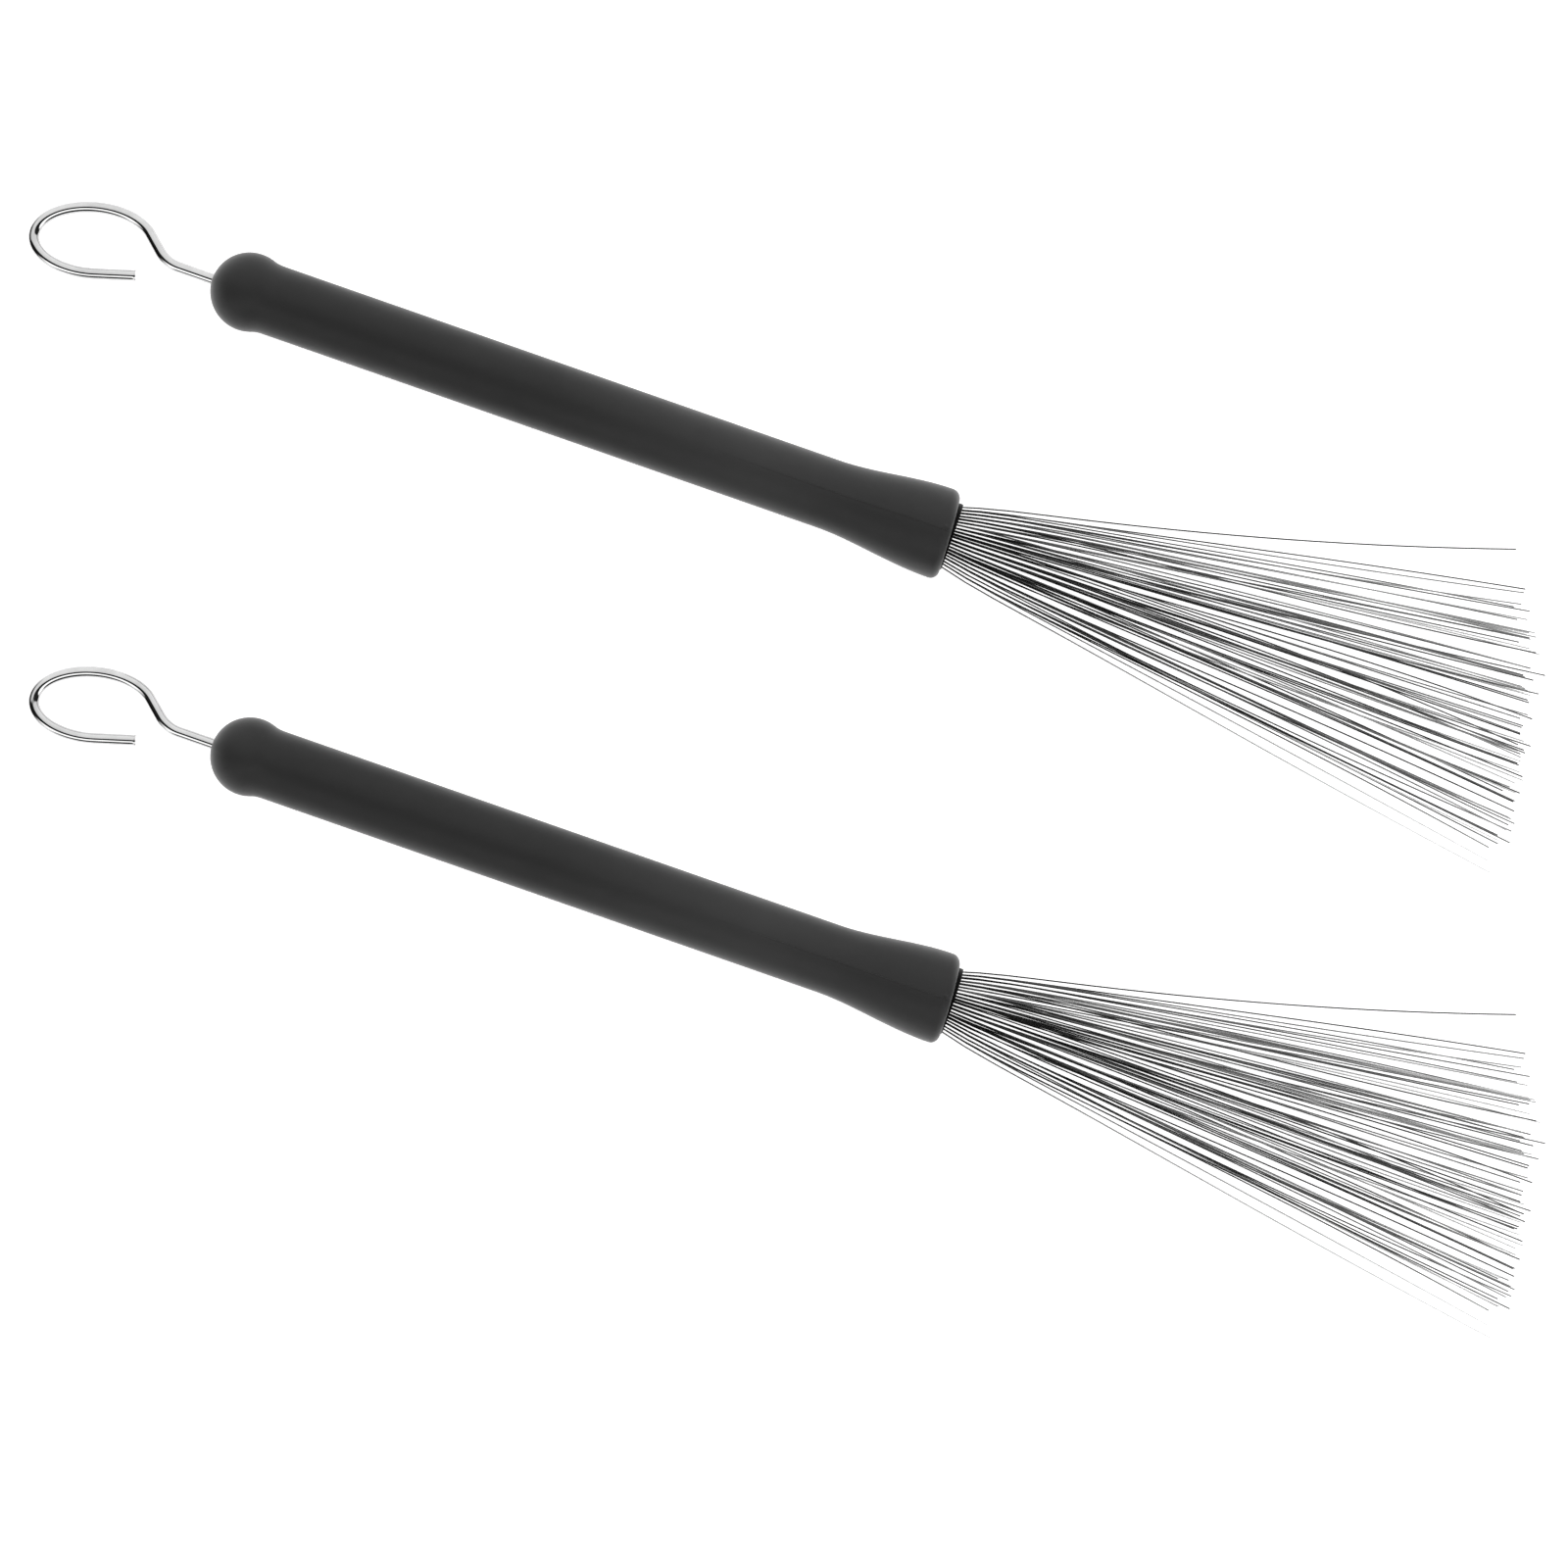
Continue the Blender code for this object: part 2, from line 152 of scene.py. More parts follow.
# Wires: how much one differs from the next. The jitters are standard deviations.
COLUMN_JITTER = 0.085 * MM
LEAN_JITTER = 3.3 * MM
LEAN_LOST_AT_EDGE = 0.55
LEAN_POWER = 1.4
LIFT_JITTER = 0.5 * MM
BOW_JITTER = 0.8 * MM
SHORTEST_BY = 2.7 * MM
LONGEST_BY = 0.8 * MM

# Wires: where the tips cling together, or part where the pull is negative: place, pull, width.
WIRE_GATHERS = (
    (21.5 * MM, 0.5, 6.0 * MM),
    (9.5 * MM, 0.4, 3.0 * MM),
    (-10.3 * MM, -0.6, 4.0 * MM),
)

# Wires: the one at the upper edge that strays outside the fan.
STRAY_CURL = 10.4 * MM
STRAY_POWER = 1.8
STRAY_TONE = 0.30

# Wires: their tones, from 0 for black to 1 for bright steel.
TONE_LOWEST = 0.05
TONE_RANGE = 0.70
# Painted highlights: how much brighter the wires are made at the fan's edges and towards its upper
# edge.
TONE_AT_EDGES = 0.14
TONE_TO_UPPER_EDGE = 0.06
TONE_DRIFT = 0.25
# Painted shade: how much darker the wires are made at the mouth, fading over TONE_REACH.
MOUTH_SHADE = 0.65
TONE_REACH = 65.0 * MM
# Painted highlight: how much paler the tips are made, the more so nearer the fan's lower edge.
TIP_TONE = 0.12
TIP_POWER = 4

# Camera: it looks straight down, turned so that the brushes slope down to the right.
VIEW_TURN = math.radians(19.24)
VIEW_WIDTH = 336.0 * MM
VIEW_PAST_GRIP_END = 151.6 * MM
VIEW_BELOW_AXIS = 61.8 * MM
LENS_MM = 100.0
SENSOR_MM = 36.0
FURTHEST_SEEN = 20.0

# Light: how bright the sky is across the view, along it and by height, each from -1 to 1.
LIGHTS_ACROSS = (
    (-0.82, 0.02),
    (-0.73, 0.90),
    (-0.51, 0.90),
    (-0.43, 0.01),
    (-0.01, 0.01),
    (0.05, 0.47),
    (1.0, 0.56),
)
LIGHTS_ALONG = ((-0.85, 0.04), (-0.60, 1.0), (0.80, 1.0), (1.0, 0.5))
LIGHTS_HEIGHT = ((-0.10, 0.0), (0.0, 0.6), (0.2, 1.0))
LIGHT_STRENGTH = 2.4

# Stage: a square floor just below the brushes, and a round wall just inside the floor's edge.
FLOOR_HALF_SIZE = 3.0
FLOOR_DROP = 0.4 * MM
FLOOR_GLOW = 0.74
BACKDROP_RADIUS = 2.9
BACKDROP_HALF_HEIGHT = 2.5
BACKDROP_SIDES = 48
BACKDROP_GLOW = 0.93


# ---------------------------------------------------------------- shape helpers


def smooth_step(share):
    share = min(max(share, 0.0), 1.0)
    return share * share * (3.0 - 2.0 * share)


def even_steps(first, last, steps):
    return [first + (last - first) * step / steps for step in range(steps + 1)]


def arc(centre_x, centre_r, radius, first, last, steps):
    """Profile points (radius, x) on an arc. The angles are in degrees, and 90 points outward."""
    points = []
    for angle in even_steps(math.radians(first), math.radians(last), steps):
        points.append((centre_r + radius * math.sin(angle), centre_x + radius * math.cos(angle)))
    return points


def new_object(name, builder, material, body, node):
    """An object made from a bmesh, riding on a body and standing for a CAD node."""
    mesh = bpy.data.meshes.new(name)
    builder.to_mesh(mesh)
    builder.free()
    mesh.shade_smooth()
    mesh.set_sharp_from_angle(angle=SHARP_ANGLE)
    mesh.materials.append(material)
    obj = bpy.data.objects.new(name, mesh)
    bpy.context.scene.collection.objects.link(obj)
    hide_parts(node)
    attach(obj, body)
    return obj


def turned(profile, sides, axis, shift=None, settle=None, extra_angles=()):
    """A closed profile of (radius, x) turned about a brush's axis.

    shift(radius, x, angle) adds to the radius, and settle(place) moves a finished point. Each
    vertex keeps how far along the grip it lies, as grip_along.
    """
    angles = [2 * math.pi * step / sides for step in range(sides)]
    angles = sorted(angles + list(extra_angles))
    builder = bmesh.new()
    layer = builder.verts.layers.float.new("grip_along")
    rings = []
    for angle in angles:
        ring = []
        for radius, x in profile:
            grown = radius + (shift(radius, x, angle) if shift else 0.0)
            place = Vector((x, grown * math.sin(angle), grown * math.cos(angle)))
            if settle:
                place = settle(place)
            vert = builder.verts.new(axis + place)
            vert[layer] = x / GRIP_LENGTH
            ring.append(vert)
        rings.append(ring)
    for step, here in enumerate(rings):
        there = rings[(step + 1) % len(rings)]
        for index in range(len(profile)):
            after = (index + 1) % len(profile)
            builder.faces.new((here[index], there[index], there[after], here[after]))
    bmesh.ops.recalc_face_normals(builder, faces=builder.faces)
    return builder


def add_tube(builder, route, radii, sides, layer=None, tones=()):
    """Adds a round closed tube along a route. The layer takes a tone for each of its rings."""
    rings = []
    side = None
    for index, place in enumerate(route):
        before = route[max(index - 1, 0)]
        after = route[min(index + 1, len(route) - 1)]
        along = (after - before).normalized()
        if side is None:
            side = along.orthogonal().normalized()
        side = (side - along * side.dot(along)).normalized()
        other = along.cross(side)
        ring = []
        for step in range(sides):
            angle = 2 * math.pi * step / sides
            offset = side * math.cos(angle) + other * math.sin(angle)
            vert = builder.verts.new(place + offset * radii[index])
            if layer is not None:
                vert[layer] = tones[index]
            ring.append(vert)
        rings.append(ring)
    for here, there in zip(rings, rings[1:]):
        for step in range(sides):
            after = (step + 1) % sides
            builder.faces.new((here[step], here[after], there[after], there[step]))
    builder.faces.new(tuple(reversed(rings[0])))
    builder.faces.new(tuple(rings[-1]))


# ---------------------------------------------------------------- materials


def set_stops(ramp, stops):
    """Gives a ramp node its stops of (place, colour), where a plain number stands for a grey."""
    elements = ramp.color_ramp.elements
    while len(elements) < len(stops):
        elements.new(0.5)
    for element, (place, colour) in zip(elements, stops):
        element.position = place
        element.color = (*colour, 1.0) if isinstance(colour, tuple) else (colour,) * 3 + (1.0,)


class Nodes:
    """A new material and a short way to add nodes to it."""

    def __init__(self, name):
        self.material = bpy.data.materials.new(name)
        self.material.use_nodes = True
        self.tree = self.material.node_tree
        self.shader = self.tree.nodes["Principled BSDF"]
        self.coordinates = self.tree.nodes.new("ShaderNodeTexCoord").outputs["Object"]

    def node(self, kind, **values):
        node = self.tree.nodes.new(kind)
        for key, value in values.items():
            setattr(node, key, value)
        return node

    def link(self, source, target):
        self.tree.links.new(source, target)

    def feed(self, socket, source):
        """Links an output to one of the shader's sockets."""
        self.link(source, self.shader.inputs[socket])

    def attribute(self, name):
        return self.node("ShaderNodeAttribute", attribute_name=name).outputs["Fac"]

    def stretched(self, scale):
        mapping = self.node("ShaderNodeMapping")
        mapping.inputs["Scale"].default_value = scale
        self.link(self.coordinates, mapping.inputs["Vector"])
        return mapping.outputs["Vector"]

    def noise(self, scale, detail=4.0, roughness=0.5, stretch=None):
        noise = self.node("ShaderNodeTexNoise")
        noise.inputs["Scale"].default_value = scale
        noise.inputs["Detail"].default_value = detail
        noise.inputs["Roughness"].default_value = roughness
        vector = self.stretched(stretch) if stretch else self.coordinates
        self.link(vector, noise.inputs["Vector"])
        return noise.outputs["Fac"]

    def ramp(self, source, stops):
        ramp = self.node("ShaderNodeValToRGB")
        set_stops(ramp, stops)
        self.link(source, ramp.inputs["Fac"])
        return ramp.outputs["Color"]

    def bump(self, source, strength, distance, normal=None):
        bump = self.node("ShaderNodeBump")
        bump.inputs["Strength"].default_value = strength
        bump.inputs["Distance"].default_value = distance
        self.link(source, bump.inputs["Height"])
        if normal is not None:
            self.link(normal, bump.inputs["Normal"])
        return bump.outputs["Normal"]

    def shade(self, **values):
        for key, value in values.items():
            self.shader.inputs[key.replace("_", " ")].default_value = value


def rubber_material():
    """Matte black moulded rubber: fine grain, faintly mottled, with painted light along the grip
    that is palest just before the flare.
    """
    nodes = Nodes("moulded_rubber")
    mottle = nodes.noise(60.0, detail=5.0, roughness=0.6, stretch=(1.0, 2.5, 2.5))
    along = nodes.attribute("grip_along")
    # Painted light and shade: the base colour is made paler and darker along the grip to stand for
    # how the light falls on it, palest just before the flare.
    painted_light_along_grip = nodes.ramp(
        along, ((0.0, 0.020), (0.12, 0.013), (0.45, 0.014), (0.74, 0.031), (0.88, 0.020))
    )
    tinted = nodes.node("ShaderNodeVectorMath", operation="MULTIPLY")
    nodes.link(nodes.ramp(mottle, ((0.30, 0.86), (0.75, 1.0))), tinted.inputs[0])
    nodes.link(painted_light_along_grip, tinted.inputs[1])
    nodes.feed("Base Color", tinted.outputs["Vector"])
    wear = nodes.noise(140.0, detail=6.0, roughness=0.65)
    nodes.feed("Roughness", nodes.ramp(wear, ((0.25, 0.50), (0.80, 0.62))))
    fine = nodes.noise(2600.0, detail=3.0, roughness=0.6)
    grain = nodes.bump(fine, strength=0.22, distance=0.06 * MM)
    coarse = nodes.noise(420.0, detail=3.0, roughness=0.5)
    nodes.feed("Normal", nodes.bump(coarse, strength=0.10, distance=0.12 * MM, normal=grain))
    nodes.shade(Metallic=0.0, Specular_IOR_Level=0.30, Sheen_Weight=0.45, Sheen_Roughness=0.35)
    return nodes.material


def coated_tube_material():
    """Black anodised tube with fine turning marks."""
    nodes = Nodes("black_anodised_tube")
    tone = nodes.noise(220.0, detail=4.0, roughness=0.6)
    nodes.feed("Base Color", nodes.ramp(tone, ((0.3, 0.002), (0.8, 0.004))))
    marks = nodes.noise(900.0, detail=3.0, roughness=0.6, stretch=(6.0, 0.2, 0.2))
    nodes.feed("Roughness", nodes.ramp(marks, ((0.3, 0.34), (0.8, 0.50))))
    nodes.feed("Normal", nodes.bump(marks, strength=0.15, distance=0.04 * MM))
    nodes.shade(Metallic=0.0, Specular_IOR_Level=0.04)
    return nodes.material


def rod_material():
    """Bright plated steel wire with faint drawing lines and a little haze."""
    nodes = Nodes("bright_plated_steel")
    haze = nodes.noise(190.0, detail=5.0, roughness=0.6)
    nodes.feed("Base Color", nodes.ramp(haze, ((0.3, 0.50), (0.8, 0.63))))
    scuffs = nodes.noise(520.0, detail=5.0, roughness=0.7)
    nodes.feed("Roughness", nodes.ramp(scuffs, ((0.30, 0.04), (0.75, 0.12))))
    lines = nodes.noise(1500.0, detail=3.0, roughness=0.6)
    nodes.feed("Normal", nodes.bump(lines, strength=0.04, distance=0.03 * MM))
    nodes.shade(Metallic=1.0)
    return nodes.material


def wire_material():
    """Drawn spring steel wire. Each wire has its own tone, and its brightness drifts along it. The
    tone also carries painted shade at the mouth and painted highlights at the fan's edges and
    tips.
    """
    nodes = Nodes("drawn_spring_steel")
    tone = nodes.attribute("wire_tone")
    drift = nodes.noise(26.0, detail=3.0, roughness=0.6, stretch=(1.0, 6.0, 6.0))
    mixed = nodes.node("ShaderNodeMath", operation="MULTIPLY_ADD")
    nodes.link(drift, mixed.inputs[0])
    mixed.inputs[1].default_value = TONE_DRIFT
    nodes.link(tone, mixed.inputs[2])
    colour = nodes.ramp(
        mixed.outputs[0],
        ((0.15, 0.0005), (0.31, 0.016), (0.50, 0.15), (0.72, 0.40), (1.0, 0.90)),
    )
    nodes.feed("Base Color", colour)
    polish = nodes.noise(300.0, detail=4.0, roughness=0.6)
    nodes.feed("Roughness", nodes.ramp(polish, ((0.3, 0.20), (0.8, 0.36))))
    nodes.shade(Metallic=1.0)
    return nodes.material


def nylon_material():
    """Natural nylon, turned, slightly yellow and translucent."""
    nodes = Nodes("natural_nylon")
    tone = nodes.noise(240.0, detail=4.0, roughness=0.6)
    pale, dull = (0.62, 0.60, 0.55), (0.50, 0.48, 0.43)
    nodes.feed("Base Color", nodes.ramp(tone, ((0.3, dull), (0.8, pale))))
    marks = nodes.noise(1200.0, detail=3.0, roughness=0.6, stretch=(5.0, 0.3, 0.3))
    nodes.feed("Roughness", nodes.ramp(marks, ((0.3, 0.36), (0.8, 0.52))))
    nodes.feed("Normal", nodes.bump(marks, strength=0.2, distance=0.04 * MM))
    nodes.shade(Subsurface_Weight=0.15, Subsurface_Scale=0.6 * MM)
    return nodes.material


def brass_material():
    """Turned brass, slightly tarnished."""
    nodes = Nodes("turned_brass")
    tarnish = nodes.noise(180.0, detail=5.0, roughness=0.6)
    bright, dull = (0.72, 0.55, 0.26), (0.48, 0.34, 0.15)
    nodes.feed("Base Color", nodes.ramp(tarnish, ((0.25, dull), (0.7, bright))))
    marks = nodes.noise(1400.0, detail=3.0, roughness=0.6, stretch=(6.0, 0.2, 0.2))
    nodes.feed("Roughness", nodes.ramp(marks, ((0.3, 0.20), (0.8, 0.38))))
    nodes.feed("Normal", nodes.bump(marks, strength=0.2, distance=0.04 * MM))
    nodes.shade(Metallic=1.0)
    return nodes.material


def seal_material():
    """Black nitrile rubber with a moulded grain."""
    nodes = Nodes("nitrile_seal")
    tone = nodes.noise(500.0, detail=4.0, roughness=0.6)
    nodes.feed("Base Color", nodes.ramp(tone, ((0.3, 0.008), (0.8, 0.018))))
    nodes.feed("Roughness", nodes.ramp(tone, ((0.3, 0.38), (0.8, 0.55))))
    nodes.feed("Normal", nodes.bump(nodes.noise(1800.0), strength=0.15, distance=0.04 * MM))
    return nodes.material


# ---------------------------------------------------------------- grip and tube


def flare_radius(x):
    share = (x - FLARE_START) / (FLARE_END - FLARE_START)
    return GRIP_RADIUS + (FLARE_RADIUS - GRIP_RADIUS) * smooth_step(share)


def bell(x, narrow, wide):
    """Radius of the bell mouth's wall at x, between its narrow and its wide end."""
    share = (x - BELL_START) / (GRIP_LENGTH - BELL_START)
    return narrow + (wide - narrow) * smooth_step(share)


def neck_point(share):
    """A point of the fillet that runs from the ball, at share 0, to the cylinder, at share 1."""
    edge_x = BALL_CENTRE + BALL_RADIUS * math.cos(NECK_ANGLE)
    height = BALL_RADIUS * math.sin(NECK_ANGLE) - GRIP_RADIUS
    length = NECK_END - edge_x
    power = length / (height * math.tan(NECK_ANGLE))
    return (GRIP_RADIUS + height * (1.0 - share) ** power, edge_x + length * share)


def grip_profile():
    """The grip's closed outline: from its front face round the outside, then through the bore."""
    corner = arc(GRIP_LENGTH - FRONT_CORNER, FLARE_RADIUS - FRONT_CORNER, FRONT_CORNER, 0, 90, 10)
    brow = [(FLARE_RADIUS, x) for x in even_steps(GRIP_LENGTH - FRONT_CORNER, FLARE_END, 12)[1:-1]]
    flare = brow + [(flare_radius(x), x) for x in even_steps(FLARE_END, FLARE_START, 30)]
    barrel = [(GRIP_RADIUS, x) for x in even_steps(FLARE_START - 2 * MM, NECK_END + 2 * MM, 44)]
    neck = [neck_point(share) for share in even_steps(1.0, 0.0, 12)[:-1]]
    ball = arc(BALL_CENTRE, 0.0, BALL_RADIUS, math.degrees(NECK_ANGLE), REAR_HOLE_ANGLE, 60)
    edge_x = ball[-1][1] + HOLE_EDGE_DEPTH
    hole = arc(edge_x, ROD_HOLE + HOLE_EDGE, HOLE_EDGE, 180.0, 270.0, 4)
    inside = [(ROD_HOLE, POCKET_START), (TUBE_RADIUS + BORE_GAP, POCKET_START)]
    mouth = [
        (bell(x, TUBE_RADIUS, MOUTH_RADIUS) + BORE_GAP, x)
        for x in even_steps(BELL_START, GRIP_LENGTH, 12)
    ]
    return corner + flare + barrel + neck + ball + hole + inside + mouth


def grip_detail(radius, x, angle):
    """The ball's ring, and on both sides the step where the mould's halves met and a gate mark."""
    if radius < GRIP_RADIUS - MARK_MARGIN or x > GRIP_LENGTH - MARK_MARGIN:
        return 0.0
    shift = -BALL_LINE_DEPTH * math.exp(-(((x - BALL_LINE) / BALL_LINE_WIDTH) ** 2))
    strength = smooth_step((x - SEAM_START) / SEAM_RISE)
    for seam_angle in SEAM_ANGLES:
        turn = (angle - seam_angle + math.pi) % (2 * math.pi) - math.pi
        if 0.0 < turn < math.pi / 2:
            shift += strength * SEAM_STEP * math.exp(-turn * radius / SEAM_FADE)
        distance = math.hypot((turn - GATE_TURN) * radius, x - GATE_MARK)
        shift += GATE_HEIGHT * math.exp(-((distance / GATE_RADIUS) ** 2))
    return shift


def front_tilted(place):
    """Moves a point of the grip's front end, which is slightly crowned and out of square."""
    share = smooth_step((place.x - FLARE_START) / (GRIP_LENGTH - FLARE_START))
    place.x += share**2 * (FRONT_BULGE - FRONT_TILT * place.y)
    return place


def make_grip(number, axis, material):
    extra = [angle + math.radians(turn) for angle in SEAM_ANGLES for turn in SEAM_TURNS]
    builder = turned(grip_profile(), GRIP_SIDES, axis, grip_detail, front_tilted, extra)
    node = f"rubber_grip_{number}"
    body = f"handle_{number}"
    return new_object(f"{node}_moulded", builder, material, body, node)


def tube_profile():
    """The tube's closed outline, with its lip rolled to a round edge."""
    lip = (MOUTH_RADIUS - MOUTH_BORE) / 2
    stations = even_steps(BELL_START, GRIP_LENGTH, 14)
    outside = [(bell(x, TUBE_RADIUS, MOUTH_RADIUS), x) for x in reversed(stations)]
    inside = [(bell(x, TUBE_BORE, MOUTH_BORE), x) for x in stations]
    rolled = arc(MOUTH - lip, (MOUTH_RADIUS + MOUTH_BORE) / 2, lip, -90.0, 90.0, 8)
    rear = [(TUBE_RADIUS, TUBE_START), (TUBE_BORE, TUBE_START)]
    return rolled + outside + rear + inside


def make_tube(number, axis, material):
    builder = turned(tube_profile(), TUBE_SIDES, axis)
    node = f"handle_tube_{number}"
    body = f"handle_{number}"
    return new_object(f"{node}_rolled", builder, material, body, node)


# ---------------------------------------------------------------- pull rod


def eye_axes():
    """The directions of the hook's oval eye, along it and across it."""
    long_way = Vector((math.cos(EYE_TILT), math.sin(EYE_TILT), 0.0))
    wide_way = Vector((-math.sin(EYE_TILT), math.cos(EYE_TILT), 0.0))
    return long_way, wide_way


def eye_point(angle):
    """A point of the eye's centre line."""
    long_way, wide_way = eye_axes()
    along = EYE_HALF_LENGTH * math.cos(angle)
    across = EYE_HALF_WIDTH * math.sin(angle)
    return EYE_CENTRE + long_way * along + wide_way * across


def eye_direction(angle):
    """The direction of the eye's centre line at a point."""
    long_way, wide_way = eye_axes()
    along = -EYE_HALF_LENGTH * math.sin(angle)
    across = EYE_HALF_WIDTH * math.cos(angle)
    return (long_way * along + wide_way * across).normalized()


def rod_route():
    """Centre line of the rod: straight shank, one bend up to the eye, the eye, straight tip."""
    eye_start = eye_point(EYE_FIRST_ANGLE)
    rise = eye_direction(EYE_FIRST_ANGLE)
    slope = math.atan2(rise.y, -rise.x)
    corner_x = eye_start.x + eye_start.y / math.tan(slope)
    bend_start = corner_x + BEND_RADIUS * math.tan(slope / 2)
    route = [Vector((x, 0.0, 0.0)) for x in even_steps(ROD_FRONT, bend_start + 2 * MM, 24)]
    for angle in even_steps(0.0, slope, 16):
        across = BEND_RADIUS * (1.0 - math.cos(angle))
        route.append(Vector((bend_start - BEND_RADIUS * math.sin(angle), across, 0.0)))
    for angle in even_steps(EYE_FIRST_ANGLE, EYE_LAST_ANGLE, 110):
        route.append(eye_point(angle))
    tip_way = eye_direction(EYE_LAST_ANGLE)
    last = route[-1]
    for share in HOOK_TIP_STATIONS:
        route.append(last + tip_way * HOOK_TIP_LENGTH * share)
    return route


def rod_radii(count):
    """A round wire whose sheared tip is slightly flared and whose inner end is chamfered."""
    radii = [ROD_RADIUS] * count
    radii[0] = ROD_RADIUS * ROD_CHAMFER
    radii[-len(HOOK_TIP_BURR):] = [ROD_RADIUS * share for share in HOOK_TIP_BURR]
    return radii


def make_rod(number, axis, material):
    route = [axis + place for place in rod_route()]
    builder = bmesh.new()
    add_tube(builder, route, rod_radii(len(route)), ROD_SIDES)
    node = f"pull_rod_{number}"
    body = f"rod_{number}"
    return new_object(f"{node}_bent", builder, material, body, node)


# ---------------------------------------------------------------- wires


def spread(x, at_mouth, at_tip):
    """Half the fan's width or height at x, from what it is at the tube's mouth and at the tips."""
    inner_slope = (at_mouth - BUNDLE_RADIUS) / (MOUTH - ROOT_END)
    if x <= MOUTH:
        return BUNDLE_RADIUS + inner_slope * max(x - ROOT_END, 0.0)
    outer_slope = (at_tip - at_mouth - inner_slope * LIP_EASE) / (FAN_REACH - LIP_EASE)
    past = x - MOUTH
    eased = LIP_EASE * (1.0 - math.exp(-past / LIP_EASE))
    return at_mouth + outer_slope * past + (inner_slope - outer_slope) * eased


def fan_point(across, up, x):
    """A wire's centre at x, when it sits at (across, up) of the round bundle's unit disc."""
    sway = FAN_SWAY * max(x - MOUTH, 0.0) / FAN_REACH
    width = spread(x, FAN_MOUTH_HALF_WIDTH, FAN_HALF_WIDTH)
    height = spread(x, FAN_MOUTH_HALF_DEPTH, FAN_HALF_DEPTH)
    return Vector((x, sway + across * width, up * height))


def gathered(y):
    """Where a tip meant for y ends up, as wires cling together in some places and part in one."""
    pulled = y
    for place, pull, width in WIRE_GATHERS:
        pulled += (place - y) * pull * math.exp(-(((y - place) / width) ** 2))
    return pulled


def tuft_places():
    """The centre of each tuft's root, across and up from the axis."""
    places = []
    for count, radius in TUFT_RINGS:
        for index in range(count):
            angle = 2 * math.pi * (index + 0.25) / count
            places.append((radius * math.cos(angle), radius * math.sin(angle)))
    return places


def wire_places(place):
    """Each wire's place in the bundle's unit disc: one amid its tuft and the others around it."""
    ring = WIRES_PER_TUFT - 1
    wires = [place]
    for index in range(ring):
        angle = 2 * math.pi * index / ring
        across = place[0] + WIRE_PITCH * math.cos(angle)
        wires.append((across, place[1] + WIRE_PITCH * math.sin(angle)))
    return [(across / BUNDLE_RADIUS, up / BUNDLE_RADIUS) for across, up in wires]


def column_hold(x):
    """How firmly the columns at the mouth hold a wire at x, from 0 to 1."""
    if x < MOUTH:
        return smooth_step((x - ROOT_END) / (MOUTH - ROOT_END))
    return math.exp(-(((x - MOUTH) / COLUMN_REACH) ** 2))


def column_shift(number, across, up):
    """How far a wire moves sideways so that the wires stand in even columns at the mouth."""
    at_mouth = across * FAN_MOUTH_HALF_WIDTH
    shift = round(at_mouth / COLUMN_PITCH) * COLUMN_PITCH - at_mouth
    return shift + COLUMN_LEAN[number] * up * FAN_MOUTH_HALF_DEPTH


def wire_route(number, across, up, dice):
    """One wire's centre line, with its own lean, slight bow and length."""
    column = column_shift(number, across, up) + dice.gauss(0.0, COLUMN_JITTER)
    lean = dice.gauss(0.0, LEAN_JITTER) * (1.0 - LEAN_LOST_AT_EDGE * min(across**2, 1.0))
    lift = dice.gauss(0.0, LIFT_JITTER)
    bow = dice.gauss(0.0, BOW_JITTER)
    curl = STRAY_CURL if across > 1.0 else 0.0
    tip_y = FAN_SWAY + across * FAN_HALF_WIDTH + curl
    lean = gathered(tip_y + lean) - tip_y
    reach = FAN_REACH - FAN_SLANT * tip_y - FAN_ROUNDING * tip_y**2
    last = MOUTH + reach + dice.uniform(-SHORTEST_BY, LONGEST_BY)
    route = []
    for x in [ROOT_START] + even_steps(ROOT_END, last, WIRE_STEPS):
        place = fan_point(across, up, x)
        share = max(x - MOUTH, 0.0) / FAN_REACH
        place.y += column * column_hold(x)
        bowed = bow * math.sin(math.pi * share) * share
        place.y += lean * share**LEAN_POWER + bowed + curl * share**STRAY_POWER
        place.z += lift * share
        route.append(place)
    return route


def wire_tones(route, across, dice):
    """How bright a wire is along its length: painted shade makes it darkest at the mouth, and it
    is brightest at its tip.

    The wires at the fan's edges and towards its upper edge get painted highlights that make them
    brighter than the rest, and the tips get a painted highlight, the more so the nearer they are
    to its lower edge.
    """
    # Painted highlights make the wires at the fan's edges and towards its upper edge brighter.
    own = TONE_LOWEST + TONE_AT_EDGES * across**2 + TONE_TO_UPPER_EDGE * across
    own += TONE_RANGE * dice.random()
    if across > 1.0:
        own = STRAY_TONE
    tones = []
    for place in route:
        past = max(place.x - MOUTH, 0.0)
        # The tip gets a painted highlight, strongest near the fan's lower edge.
        painted_tip_highlight = TIP_TONE * (1.0 - across) * (past / FAN_REACH) ** TIP_POWER
        # Painted shade darkens the wire near the mouth and fades towards its tip.
        tones.append(own * (1.0 - MOUTH_SHADE * math.exp(-past / TONE_REACH)) + painted_tip_highlight)
    return tones


def tuft_sides(number, index, place):
    """The routes and tones of a tuft's wires, by the side of the axis on which each one ends."""
    dice = random.Random(WIRE_SEED * index)
    sides = {"left": [], "right": []}
    for across, up in wire_places(place):
        route = wire_route(number, across, up, dice)
        tones = wire_tones(route, across, dice)
        sides["left" if route[-1].y > 0.0 else "right"].append((route, tones))
    return sides


